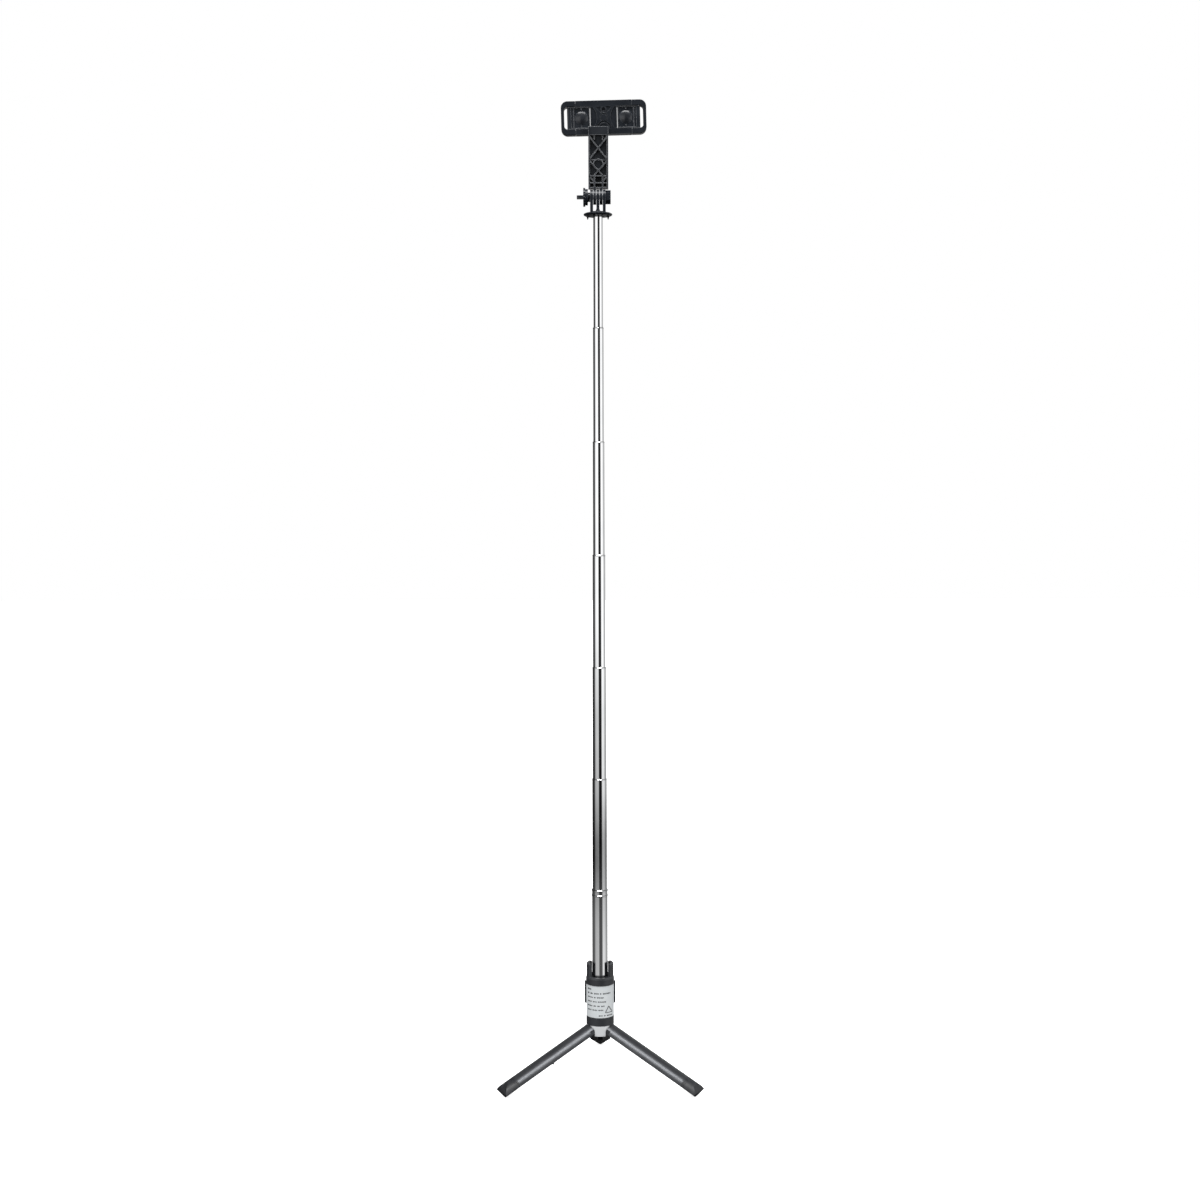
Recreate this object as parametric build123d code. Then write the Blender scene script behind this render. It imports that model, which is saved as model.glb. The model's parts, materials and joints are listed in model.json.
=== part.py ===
"""Selfie stick on a fold-out tripod.

A hub carries three folding legs and a round handle. Seven chromed tubes telescope out of the
handle, and the last one carries a tilting head, a ribbed arm and a spring-loaded phone holder.
A shutter remote is clipped to the back of the handle.

Millimetres, +Z up, origin on the pole's axis at the level of the soles.
"""
from build123d import *
import os
from math import cos, radians, sin, tan

os.makedirs("parts", exist_ok=True)

# ---- driving dimensions -------------------------------------------------------------------

RUN = 0.05                  # radial clearance of a running fit

# Tripod
HUB_R = 14.2
HUB_LOW, HUB_TOP = 47.35, 58.2
HUB_PLATE_LOW = 52.05       # the legs fold under this plate
LEG_AZIMUTHS = (210.0, 330.0, 90.0)
LEG_SLOPE = 25.0            # below the horizontal, legs open
HINGE_R, HINGE_Z = 8.0, 54.85
HINGE_PIN_R, HINGE_PIN_HALF = 1.0, 7.0
LUG_R, LUG_HALF = 2.6, 3.0
LEG_OUTER_R = 13.2          # of the folded bundle of legs
LEG_START, LEG_NECK, FOOT_START = 4.0, 8.7, 99.0
LEG_NECK_HALF = 8.2         # the leg is this narrow between the hub's pillars
LEG_FLAT_GAP = 0.35         # each leg stands back this far from its neighbour
HUB_SCREW_R, HUB_SCREW_PCR, HUB_SCREW_END = 1.0, 12.0, 62.7

# Handle
LOWER_COLLAR_TOP = 66.8
GRIP_R, GRIP_TOP = 14.0, 99.9
LABEL_THICK = 0.15
UPPER_COLLAR_R, UPPER_COLLAR_TOP = 14.4, 107.8
PRONG_TOP, PRONG_OUTER_R, PRONG_INNER_R = 121.0, 13.8, 10.5

# Remote at the back of the handle
REMOTE_HALF_X, REMOTE_LOW, REMOTE_TOP = 14.9, 76.1, 98.1
REMOTE_FRONT_Y, REMOTE_SPLIT_Y, REMOTE_BACK_Y = 15.4, 18.4, 22.4
CRADLE_HALF_X, CRADLE_LOW = 15.9, 75.1
BUTTON_R, BUTTON_Z = 5.0, 89.6
CELL_R, CELL_THICK, CELL_Z = 8.0, 1.6, 86.6

# Telescopic pole
TUBE_COUNT = 7
TUBE_1_R, TUBE_STEP_R = 8.0, 0.55
TUBE_WALL = 0.25
TUBE_1_LOW, TUBE_1_TOP = 59.7, 197.5
TUBE_PITCH = 113.74         # exposed length of each of tubes 2 to 6
OVERLAP = 15.0
LIP_HEIGHT = 1.0

# Head
FLANGE_LOW, FLANGE_TOP, FLANGE_R = 875.7, 879.3, 14.35
TILT_Z, KNUCKLE_R = 894.7, 7.3
YOKE_PRONG_X, YOKE_PRONG_THICK = 6.3, 2.9
FINGER_X, FINGER_THICK = 3.15, 3.0
TILT_SCREW_R = 2.2
HEX_R, HEX_END = 6.9, 12.7
NUT_R, NUT_DEEP, NUT_THICK = 4.6, 3.6, 3.2
SCALLOP_R, SCALLOP_PCR = 1.9, 10.0
TOOTH_X, TOOTH_Y, TOOTH_LONG = 10.2, 3.0, 3.2
KNOB_STEPS = ((9.2, -14.6, -12.6), (7.9, -12.6, -10.0), (4.6, -10.0, -7.85))    # radius, x, x
FLUTE_COUNT, FLUTE_R, FLUTE_PCR = 18, 0.9, 9.6
WING_TIP_X, WING_ROOT_X, WING_HALF_THICK = -21.0, -13.5, 1.3

# Arm
ARM_X, ARM_HALF = 0.5, 9.9
ARM_HALF_Y = 4.5
ARM_LOW, ARM_TOP, TAB_TOP = 903.0, 956.1, 963.4
POCKET_Y, RIM = -1.0, 1.5   # the pockets' floor, and the wall round them
RIB = 1.1
ROW_Z, SHELF_Z, CROSSBAR_Z = 908.2, 915.0, 931.0     # level ribs, from the bottom up
ARM_BOSS_R, ARM_BOSS_Z = 5.4, 926.7
SWIVEL_Z, SWIVEL_R = 960.8, 1.6

# Phone holder, in its own frame: u along it, v away from the arm, w up
HOLDER_X, HOLDER_Z, HOLDER_Y, HOLDER_ROLL = 6.3, 974.1, 4.8, 1.4
HOLDER_HALF_U, HOLDER_HALF_W, HOLDER_CORNER = 42.5, 16.6, 6.5
HOLDER_DEPTH, SHELL_SPLIT = 9.0, 4.4
BAR_IN = 11.0               # inner edge of the top and bottom bars
WAIST_R, WAIST_U = 15.0, 21.8
BOWL_R, BOWL_W = 7.6, 12.2
ARCH_R, ARCH_WALL = 7.4, 1.5
RING_R, RING_WALL = 4.0, 0.7
SHELL_SCREW_W, SHELL_SCREW_R = 7.9, 1.0
WEB_HALF, RAIL_HALF = 13.3, 28.0
BAIL_GAP = 0.15
BAIL_WALL = 3.1
ARM_CHANNEL_W = (11.9, 14.9)
CLAW_IN, CLAW_HALF_W = 13.7, 10.6
CLAW_HINGE_U, CLAW_HINGE_V, CLAW_PIN_R = 34.9, 2.4, 0.8
CLAW_V0, CLAW_V1 = 0.9, 4.0
CLAW_FRAME, CLAW_FIELD_V = 0.8, 2.1
PAD_U, PAD_R, PAD_HEIGHT = 22.1, 6.9, 2.0


# ---- helpers ------------------------------------------------------------------------------

def write(node, *solids):
    """Write one node's solids as parts/NODE.step."""
    flat = [s for shape in solids for s in shape.solids()]
    export_step(Compound(children=flat) if len(flat) > 1 else flat[0], f"parts/{node}.step")


def block(x, y, z):
    """A box between three pairs of limits."""
    size = [b - a for a, b in (x, y, z)]
    middle = [(a + b) / 2 for a, b in (x, y, z)]
    return Pos(*middle) * Box(*size)


def rod_z(radius, low, high, x=0.0, y=0.0):
    """A round bar along Z."""
    return Pos(x, y, (low + high) / 2) * Cylinder(radius, high - low)


def rod_x(radius, x0, x1, y=0.0, z=0.0):
    """A round bar along X."""
    return Pos((x0 + x1) / 2, y, z) * Rot(0, 90, 0) * Cylinder(radius, x1 - x0)


def rod_y(radius, y0, y1, x=0.0, z=0.0):
    """A round bar along Y."""
    return Pos(x, (y0 + y1) / 2, z) * Rot(90, 0, 0) * Cylinder(radius, y1 - y0)


def turned(*points):
    """A solid of revolution about Z, from a closed outline of (radius, height) points."""
    return revolve(Plane.XZ * make_face(Polyline(*points, close=True)), Axis.Z)


def around(shape, azimuths):
    """Copies of a shape drawn at azimuth 0, turned to each azimuth."""
    return [Rot(0, 0, a) * shape for a in azimuths]


def sector(low_angle, high_angle, z, reach=40.0):
    """A pie slice about Z, for cutting arcs out of rings. It spans less than half a turn."""
    middle, half = (low_angle + high_angle) / 2, radians(high_angle - low_angle) / 2
    wedge = Polygon((0, 0), (reach, -reach * tan(half)), (reach, reach * tan(half)), align=None)
    return Rot(0, 0, middle) * Pos(0, 0, z[0]) * extrude(wedge, z[1] - z[0])


# ---- tripod -------------------------------------------------------------------------------

def leg_place(azimuth):
    """Where a leg's own frame stands: X along the leg, Y sideways, Z out of the folded bundle."""
    return Rot(0, 0, azimuth) * Pos(HINGE_R, 0, HINGE_Z) * Rot(0, LEG_SLOPE, 0)


def hub():
    """Turned hub with a slot, a facet and an undercut for each leg."""
    bevel = 0.6
    body = turned((0, HUB_LOW), (HUB_R - bevel, HUB_LOW), (HUB_R, HUB_LOW + bevel), (HUB_R, HUB_TOP),
                  (0, HUB_TOP))
    cut_half = LEG_NECK_HALF + 0.3
    slot_half, slot_in = LUG_HALF + 0.2, HINGE_R - LUG_R - 0.2
    facet = LEG_START - 0.4
    for azimuth in LEG_AZIMUTHS:
        turn = Rot(0, 0, azimuth)
        undercut = block((0, 20), (-cut_half, cut_half), (HUB_LOW - 1, HUB_PLATE_LOW))
        slot = block((slot_in, 20), (-slot_half, slot_half), (HUB_LOW, HUB_TOP + 1))
        pin = Pos(HINGE_R, 0, HINGE_Z) * Rot(90, 0, 0) * Cylinder(HINGE_PIN_R, 2 * HINGE_PIN_HALF)
        shaving = block((facet, facet + 20), (-cut_half, cut_half), (-20, 12))
        body = body - turn * undercut - turn * slot - turn * pin - leg_place(azimuth) * shaving
    for azimuth in LEG_AZIMUTHS:
        between = Rot(0, 0, azimuth + 60) * Pos(HUB_SCREW_PCR, 0, 0)
        body = body - between * rod_z(HUB_SCREW_R, HUB_LOW - 1, HUB_TOP + 1)
        body = body - between * rod_z(HUB_SCREW_R + 0.5, HUB_LOW - 1, HUB_LOW + 1.2)
    return body


def hub_screw():
    """Countersunk in a pillar of the hub, threaded into the lower collar. Drawn at azimuth 0."""
    shank = rod_z(HUB_SCREW_R, HUB_LOW + 1.2, HUB_SCREW_END)
    head = rod_z(HUB_SCREW_R + 0.5, HUB_LOW + 0.1, HUB_LOW + 1.2)
    cross = block((-1.0, 1.0), (-0.2, 0.2), (HUB_LOW, HUB_LOW + 0.6))
    return Pos(HUB_SCREW_PCR, 0, 0) * (shank + head - cross - Rot(0, 0, 90) * cross)


def leg_section(apex_radius, reach=LEG_OUTER_R):
    """Third of a round bar: Y sideways, Z outward, the bundle's axis below the hinge."""
    lift = LEG_FLAT_GAP / sin(radians(60))
    side = 30.0
    flank_y, flank_z = side * sin(radians(60)), lift + side * cos(radians(60))
    wedge = Polygon((0, lift), (flank_y, flank_z), (0, 2 * side), (-flank_y, flank_z), align=None)
    above = Pos(0, apex_radius + 30) * Rectangle(60, 60)
    outline = Circle(reach) & wedge & above
    corners = outline.vertices().sort_by(Axis.Y)[-2:]
    return Pos(0, -HINGE_R) * fillet(corners, 0.9)


def leg_body():
    """One leg in its own frame, solid apart from a channel on the underside."""
    half_flat = radians(60)
    bar = extrude(Plane.YZ.offset(LEG_START) * leg_section(0.6), FOOT_START - LEG_START)
    for side in (-1, 1):
        y = sorted((side * LEG_NECK_HALF, side * 20))
        bar = bar - block((LEG_START - 1, LEG_NECK), y, (-20, 20))
    channel = block((16, FOOT_START - 6), (-2.3, 2.3), (-10, 1.2))
    lug = block((0, LEG_START + 1), (-LUG_HALF, LUG_HALF), (-LUG_R, LUG_R))
    lug = lug + Rot(90, 0, 0) * Cylinder(LUG_R, 2 * LUG_HALF)
    bar = bar - channel + lug - Rot(90, 0, 0) * Cylinder(HINGE_PIN_R + RUN, 20)
    # Locating nubs stand on one flat and enter sockets in the neighbour's flat when folded.
    up_flat = 5.4
    for s in (9.0, 57.0):
        foot_y, foot_z = up_flat * sin(half_flat), -HINGE_R + up_flat * cos(half_flat)
        nub = Pos(s, foot_y, foot_z) * Rot(120, 0, 0) * Pos(0, 0, -0.3) * Cylinder(0.7, 3.0)
        socket = Pos(s, -foot_y, foot_z) * Rot(60, 0, 0) * Cylinder(1.0, 3.6)
        bar = bar - socket + nub
    return bar + Pos(FOOT_START - 2.5, 0, -HINGE_R + 2.6) * Cylinder(0.6, 2.6)


def foot_cap():
    """Rubber cap on a leg's end in the leg's frame, round on top, with a slanted end face."""
    tip, shoulder = (FOOT_START + 16.4, -7.4), (FOOT_START + 17.9, 0.0)
    round_start = (FOOT_START + 6.5, LEG_OUTER_R - HINGE_R + 0.1)
    outline = Polyline((FOOT_START, -9.0), (tip[0] - 0.3, -9.0), tip, shoulder)
    curve = TangentArc([round_start, shoulder], tangent=(1, 0))
    closing = Polyline(round_start, (FOOT_START, round_start[1]), (FOOT_START, -9.0))
    profile = Plane.XZ * make_face([*outline.edges(), *curve.edges(), *closing.edges()])
    bar = extrude(Plane.YZ.offset(FOOT_START) * leg_section(0.6), 20)
    cap = bar & extrude(profile, 20, both=True)
    for s in (FOOT_START + 1.4, FOOT_START + 3.2):
        skin = extrude(Plane.YZ.offset(s) * leg_section(0.0, 30.0), 0.5)
        core = Pos(0, 0, -HINGE_R) * Rot(0, 90, 0) * Cylinder(LEG_OUTER_R - 0.4, 400)
        cap = cap - (skin - core)
    return cap


# ---- handle -------------------------------------------------------------------------------

def lower_collar():
    """Black ring that joins the hub to the grip and seats the first tube."""
    body = turned((0, HUB_TOP), (HUB_R, HUB_TOP), (HUB_R, LOWER_COLLAR_TOP - 0.4),
                  (HUB_R - 0.4, LOWER_COLLAR_TOP), (TUBE_1_R, LOWER_COLLAR_TOP), (TUBE_1_R, TUBE_1_LOW),
                  (0, TUBE_1_LOW))
    for azimuth in LEG_AZIMUTHS:
        hole = rod_z(HUB_SCREW_R, HUB_TOP - 1, HUB_SCREW_END + 0.2, x=HUB_SCREW_PCR)
        body = body - Rot(0, 0, azimuth + 60) * hole
    return body


def grip_tube():
    """Moulded grip: an outer shell, a sleeve round the first tube, and six ribs between them."""
    low, high = LOWER_COLLAR_TOP, GRIP_TOP
    body = rod_z(GRIP_R, low, high) - rod_z(GRIP_R - 1.6, low - 1, high + 1)
    body = body + (rod_z(TUBE_1_R + 1.4, low, high) - rod_z(TUBE_1_R, low - 1, high + 1))
    for rib in around(block((TUBE_1_R + 1, GRIP_R - 1), (-0.7, 0.7), (low, high)), range(0, 360, 60)):
        body = body + rib
    return body


def label():
    """Printed sleeve round the front of the grip."""
    low, high = LOWER_COLLAR_TOP + 0.3, GRIP_TOP - 0.3
    sleeve = rod_z(GRIP_R + LABEL_THICK, low, high) - rod_z(GRIP_R, low - 1, high + 1)
    return sleeve - sector(40, 140, (low - 1, high + 1))


def upper_collar():
    """Black ring on top of the grip, with two curved prongs beside the first tube."""
    body = turned((TUBE_1_R, GRIP_TOP), (UPPER_COLLAR_R, GRIP_TOP),
                  (UPPER_COLLAR_R, UPPER_COLLAR_TOP - 1.8), (PRONG_OUTER_R, UPPER_COLLAR_TOP),
                  (PRONG_INNER_R, UPPER_COLLAR_TOP), (PRONG_INNER_R, UPPER_COLLAR_TOP - 2.0),
                  (TUBE_1_R, UPPER_COLLAR_TOP - 2.0))
    wall = rod_z(PRONG_OUTER_R, UPPER_COLLAR_TOP - 2.0, PRONG_TOP)
    wall = wall - rod_z(PRONG_INNER_R, UPPER_COLLAR_TOP - 3.0, PRONG_TOP + 1)
    for middle in (0.0, 180.0):
        prong = wall & sector(middle - 39, middle + 39, (UPPER_COLLAR_TOP - 3, PRONG_TOP + 1))
        tops = prong.faces().sort_by(Axis.Z)[-1].edges()
        body = body + chamfer(tops, 0.5)
    return body


def remote_cradle():
    """Tray saddled on the back of the grip, with a lip down both sides and under the remote."""
    floor_y, lip_y = REMOTE_FRONT_Y, 19.2
    tray = block((-CRADLE_HALF_X, CRADLE_HALF_X), (12.5, floor_y), (CRADLE_LOW, REMOTE_TOP - 0.6))
    tray = tray - rod_z(GRIP_R, CRADLE_LOW - 1, REMOTE_TOP)
    for side in (-1, 1):
        x = sorted((side * (REMOTE_HALF_X + 0.1), side * CRADLE_HALF_X))
        tray = tray + block(x, (floor_y - 0.1, lip_y), (CRADLE_LOW, REMOTE_TOP - 0.6))
    width = (-CRADLE_HALF_X, CRADLE_HALF_X)
    tray = tray + block(width, (floor_y - 0.1, lip_y), (CRADLE_LOW, REMOTE_LOW - 0.1))
    outer = tray.edges().filter_by(Axis.Z).group_by(Axis.Y)[-1]
    return fillet(outer, 0.4)


def remote_block(y0, y1, inset=0.0):
    """Rounded rectangle of the remote's outline between two depths."""
    width, height = 2 * (REMOTE_HALF_X - inset), REMOTE_TOP - REMOTE_LOW - 2 * inset
    outline = RectangleRounded(width, height, 3.0 - min(inset, 2.0))
    return Pos(0, y1, (REMOTE_LOW + REMOTE_TOP) / 2) * Rot(90, 0, 0) * extrude(outline, y1 - y0)


def remote_parts():
    """Shutter remote: two shells, a button, a circuit board and a coin cell."""
    wall, board_y = 1.2, 19.4
    back = remote_block(REMOTE_FRONT_Y, REMOTE_SPLIT_Y) - remote_block(REMOTE_FRONT_Y + wall, 40, wall)
    front = remote_block(REMOTE_SPLIT_Y, REMOTE_BACK_Y)
    rim = front.faces().sort_by(Axis.Y)[-1].edges()
    front = fillet(rim, 0.9) - remote_block(0, REMOTE_BACK_Y - wall, wall)
    front = front - rod_y(BUTTON_R + 0.1, 0, 40, z=BUTTON_Z)
    cell = rod_y(CELL_R, board_y - 0.05 - CELL_THICK, board_y - 0.05, z=CELL_Z)
    board = remote_block(board_y, board_y + 0.8, wall + 0.15)
    button = rod_y(BUTTON_R, board_y + 1.4, REMOTE_BACK_Y + 0.5, z=BUTTON_Z)
    button = chamfer(button.faces().sort_by(Axis.Y)[-1].edges(), 0.3)
    button = button + rod_y(BUTTON_R + 0.7, board_y + 1.3, board_y + 1.7, z=BUTTON_Z)
    return {"remote_back": back, "remote_front": front, "remote_board": board,
            "remote_cell": cell, "remote_button": button}


# ---- telescopic pole ----------------------------------------------------------------------

def tube_radius(number):
    """Outer radius of a tube, number 1 being the widest."""
    return TUBE_1_R - TUBE_STEP_R * (number - 1)


def tube_top(number):
    """Height of a tube's mouth, all tubes drawn out. The last one ends inside the flange."""
    return FLANGE_TOP - 1.0 if number == TUBE_COUNT else TUBE_1_TOP + TUBE_PITCH * (number - 1)


def tube_low(number):
    """Height of a tube's lower end."""
    return TUBE_1_LOW if number == 1 else tube_top(number - 1) - OVERLAP


def tube(number):
    """Thin tube whose mouth is rolled in over the bushing of the next one, with a bead outside."""
    outer, low, top = tube_radius(number), tube_low(number), tube_top(number)
    inner = outer - TUBE_WALL
    if number == TUBE_COUNT:
        return rod_z(outer, low, top) - rod_z(inner, low - 1, top + 1)
    lip = tube_radius(number + 1) + RUN
    shell = turned((outer, low), (outer, top - 0.3), (outer - 0.25, top), (lip, top),
                   (lip, top - LIP_HEIGHT), (inner, top - LIP_HEIGHT), (inner, low))
    beads = (1.2, 6.6) if number == 1 else (0.9,)
    proud = 0.42 if number == 1 else 0.2
    for drop in beads:
        middle = top - drop
        half = 0.8 if number == 1 else 0.5
        shell = shell + turned((outer - 0.1, middle - half), (outer, middle - half),
                               (outer + proud, middle - half / 2), (outer + proud, middle + half / 2),
                               (outer, middle + half), (outer - 0.1, middle + half))
    return shell


def bushing(number):
    """Sleeve glued to a tube's lower end that runs in the tube outside it."""
    low, stop = tube_low(number), tube_top(number - 1) - LIP_HEIGHT - 0.1
    bore = tube_radius(number - 1) - TUBE_WALL
    return rod_z(bore - RUN, low, stop) - rod_z(tube_radius(number), low - 1, stop + 1)


# ---- head ---------------------------------------------------------------------------------

def flange():
    """Disc at the top of the last tube: scalloped underneath, with a spigot inside the tube."""
    socket, spigot = tube_radius(TUBE_COUNT) + RUN, tube_radius(TUBE_COUNT) - TUBE_WALL - RUN
    spigot_low, socket_top = FLANGE_LOW - 12, FLANGE_TOP - 0.9
    disc = turned((socket, FLANGE_LOW + 0.6), (6.2, FLANGE_LOW), (12.6, FLANGE_LOW + 0.5),
                  (FLANGE_R - 0.5, FLANGE_LOW + 1.1), (FLANGE_R, FLANGE_LOW + 1.8),
                  (FLANGE_R - 0.2, FLANGE_TOP - 1.1), (FLANGE_R - 1.4, FLANGE_TOP - 0.5),
                  (8.0, FLANGE_TOP), (7.6, FLANGE_TOP + 1.0), (0, FLANGE_TOP + 1.0),
                  (0, spigot_low), (spigot, spigot_low), (spigot, socket_top), (socket, socket_top))
    scallop = Pos(SCALLOP_PCR, 0, FLANGE_LOW - 0.6) * Sphere(SCALLOP_R)
    for scallop in around(scallop, [22.5 + 45 * k for k in range(8)]):
        disc = disc - scallop
    tooth = Rot(180, 0, 0) * Cone(1.3, 0.3, TOOTH_LONG)
    return disc + [Pos(side * TOOTH_X, TOOTH_Y, FLANGE_LOW - 0.9) * tooth for side in (-1, 1)]


def yoke_prong(middle):
    """One of the yoke's three round-topped prongs, centred on an X."""
    limits = (middle - YOKE_PRONG_THICK / 2, middle + YOKE_PRONG_THICK / 2)
    foot, shoulder_z = 6.0, TILT_Z - 1.0
    root = Polygon((-foot, FLANGE_TOP + 0.5), (foot, FLANGE_TOP + 0.5), (KNUCKLE_R - 0.1, shoulder_z),
                   (0.1 - KNUCKLE_R, shoulder_z), align=None)
    web = Pos(limits[0], 0, 0) * extrude(Plane.YZ * root, YOKE_PRONG_THICK)
    return rod_x(KNUCKLE_R, *limits, z=TILT_Z) + web


def hexagon_x(radius, x0, x1):
    """Six-sided bar along the tilt axis, a corner pointing up."""
    outline = Rot(0, 0, 30) * RegularPolygon(radius, 6)
    return Pos(x0, 0, TILT_Z) * extrude(Plane.YZ * outline, x1 - x0)


def head_yoke():
    """Flange with a three-pronged yoke and a hexagonal housing for the nut."""
    root_low, root_high = FLANGE_TOP + 0.5, FLANGE_TOP + 4.5
    flare = turned((0, root_low), (3.0, root_low), (1.3, root_high), (0, root_high))
    prongs = [yoke_prong(middle) for middle in (-YOKE_PRONG_X, 0.0, YOKE_PRONG_X)]
    housing_start = YOKE_PRONG_X + YOKE_PRONG_THICK / 2 - 0.1
    body = flange() + prongs + flare + hexagon_x(HEX_R, housing_start, HEX_END)
    body = body - hexagon_x(NUT_R + 0.1, HEX_END - NUT_DEEP, HEX_END + 1)
    return body - rod_x(TILT_SCREW_R + RUN, -20, 20, z=TILT_Z)


def hex_nut():
    """Captive nut pressed into the yoke's housing."""
    nut_start = HEX_END - NUT_DEEP
    return hexagon_x(NUT_R, nut_start, nut_start + NUT_THICK) - rod_x(TILT_SCREW_R + RUN, 0, 20, z=TILT_Z)


def hinge_screw():
    """Cross screw, fixed in the knob and turned into the nut."""
    return rod_x(TILT_SCREW_R, -13.0, HEX_END - 0.3, z=TILT_Z)


def hinge_knob():
    """Fluted thumb knob with a flat wing."""
    steps = [rod_x(radius, x0, x1, z=TILT_Z) for radius, x0, x1 in KNOB_STEPS]
    body = steps[0] + steps[1:]
    for k in range(FLUTE_COUNT):
        angle = radians(360 * k / FLUTE_COUNT)
        body = body - rod_x(FLUTE_R, -16, -8, y=FLUTE_PCR * cos(angle), z=TILT_Z + FLUTE_PCR * sin(angle))
    face_x = KNOB_STEPS[0][1]
    dish = Pos(face_x, 0, TILT_Z) * Rot(0, 90, 0) * (Cylinder(7.4, 1.2) - Cylinder(4.2, 1.2))
    wing = extrude(SlotCenterToCenter(10.0, 9.0), WING_HALF_THICK, both=True)
    wing = Pos(WING_ROOT_X - 0.5, 0, TILT_Z) * wing
    wing = wing & block((WING_TIP_X, WING_ROOT_X), (-6, 6), (TILT_Z - 3, TILT_Z + 3))
    return body - dish + wing - rod_x(TILT_SCREW_R, -13.0, 20, z=TILT_Z)


# ---- arm ----------------------------------------------------------------------------------

def slanted_rib(start, end, thick=RIB, floor=POCKET_Y):
    """A rib between two (x, z) points, standing on the pockets' floor up to the arm's face."""
    (x0, z0), (x1, z1) = start, end
    line = Vector(x1 - x0, z1 - z0)
    angle = Vector(1, 0).get_signed_angle(line)
    bar = Pos((x0 + x1) / 2, (floor - ARM_HALF_Y) / 2, (z0 + z1) / 2)
    return bar * Rot(0, -angle, 0) * Box(line.length, ARM_HALF_Y + floor, thick)


def arm_ribs(inner, left, right):
    """Two crossed pairs of ribs, a ring, and level and upright bars in the arm's upper pocket."""
    clip = block(inner, (-ARM_HALF_Y, POCKET_Y + 0.1), (SHELF_Z, ARM_TOP - 0.5))
    ribs = []
    for top, bottom in ((ARM_TOP - 2.4, CROSSBAR_Z), (CROSSBAR_Z - 1.0, SHELF_Z - 4.6)):
        ribs.append(slanted_rib((left + 1, top), (right - 1, bottom)) & clip)
        ribs.append(slanted_rib((left + 1, bottom), (right - 1, top)) & clip)
    ring = rod_y(ARM_BOSS_R, -ARM_HALF_Y + 1.2, POCKET_Y + 0.1, ARM_X, ARM_BOSS_Z)
    ring = ring - rod_y(ARM_BOSS_R - 1.0, -ARM_HALF_Y, POCKET_Y + 1, ARM_X, ARM_BOSS_Z)
    crossbar = block(inner, (-ARM_HALF_Y + 1.4, POCKET_Y), (CROSSBAR_Z - 0.5, CROSSBAR_Z + 0.5))
    return [*ribs, ring & clip, crossbar]


def arm_cells(inner):
    """Bars and struts that divide the open cells above the knuckles."""
    cell_y = (-ARM_HALF_Y, 2)
    bars = [block(inner, cell_y, (ROW_Z - 0.5, ROW_Z + 0.5))]
    for x in (ARM_X - 3.9, ARM_X + 4.2):
        bars.append(block((x - 0.6, x + 0.6), cell_y, (ARM_LOW, SHELF_Z)))
        bars.append(block((x - 0.5, x + 0.5), (-ARM_HALF_Y + 1.0, POCKET_Y), (ARM_TOP - 5.5, ARM_TOP)))
    clip = block(inner, cell_y, (ROW_Z, SHELF_Z))
    for side in (-1, 1):
        near, far = ARM_X + side * 4.2, ARM_X + side * (ARM_HALF - 1.2)
        bars.append(slanted_rib((near, SHELF_Z), (far, ROW_Z + 0.6), floor=1.6) & clip)
    return bars


def holder_arm():
    """Flat arm, ribbed on its front, with two knuckles below and a plain tab on top."""
    left, right = ARM_X - ARM_HALF, ARM_X + ARM_HALF
    inner = (left + RIM, right - RIM)
    body = block((left, right), (-ARM_HALF_Y, ARM_HALF_Y), (ARM_LOW, TAB_TOP))
    body = body - block(inner, (-ARM_HALF_Y - 1, POCKET_Y), (SHELF_Z + 0.5, ARM_TOP - 1.0))
    body = body - block(inner, (-ARM_HALF_Y - 1, 1.5), (ARM_LOW + 1.0, SHELF_Z - 0.5))
    body = body + arm_ribs(inner, left, right) + arm_cells(inner)
    # A shallow pocket on the back, between the rims, lightens the arm.
    back = (ARM_HALF_Y - 1.2, ARM_HALF_Y + 1)
    body = body - block((left + 3, right - 3), back, (ARM_LOW + 6, ARM_TOP - 6))
    for middle in (-FINGER_X, FINGER_X):
        limits = (middle - FINGER_THICK / 2, middle + FINGER_THICK / 2)
        finger = rod_x(KNUCKLE_R, *limits, z=TILT_Z)
        body = body + finger + block(limits, (-ARM_HALF_Y, ARM_HALF_Y), (TILT_Z, ARM_LOW + 1))
    body = body - rod_x(TILT_SCREW_R + RUN, -20, 20, z=TILT_Z)
    body = body - rod_y(SWIVEL_R + RUN, -1.2, 10, ARM_X, SWIVEL_Z)
    return body - rod_y(SWIVEL_R + 0.75, -2.8, -1.2, ARM_X, SWIVEL_Z)


def swivel_pin():
    """Snap pin pressed into the holder's back, turning in the arm's tab."""
    pin = rod_y(SWIVEL_R, -1.3, HOLDER_Y + 0.1, ARM_X, SWIVEL_Z)
    pin = pin + rod_y(SWIVEL_R + 0.6, -2.7, -1.3, ARM_X, SWIVEL_Z)
    return pin + rod_y(SWIVEL_R + 0.6, HOLDER_Y, HOLDER_Y + 3.6, ARM_X, SWIVEL_Z)


# ---- phone holder -------------------------------------------------------------------------

# The holder is drawn level in X, Y = v, Z = w about its own centre and then put in place. It is
# turned a little about the swivel pin, its right end higher.
HOLDER_PLACE = (Pos(ARM_X, 0, SWIVEL_Z) * Rot(0, -HOLDER_ROLL, 0)
                * Pos(HOLDER_X - ARM_X, HOLDER_Y, HOLDER_Z - SWIVEL_Z))


def slab(width, height, corner, v0, v1):
    """Upright rounded rectangle centred on the holder, between two depths."""
    return Pos(0, v1, 0) * Rot(90, 0, 0) * extrude(RectangleRounded(width, height, corner), v1 - v0)


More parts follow.
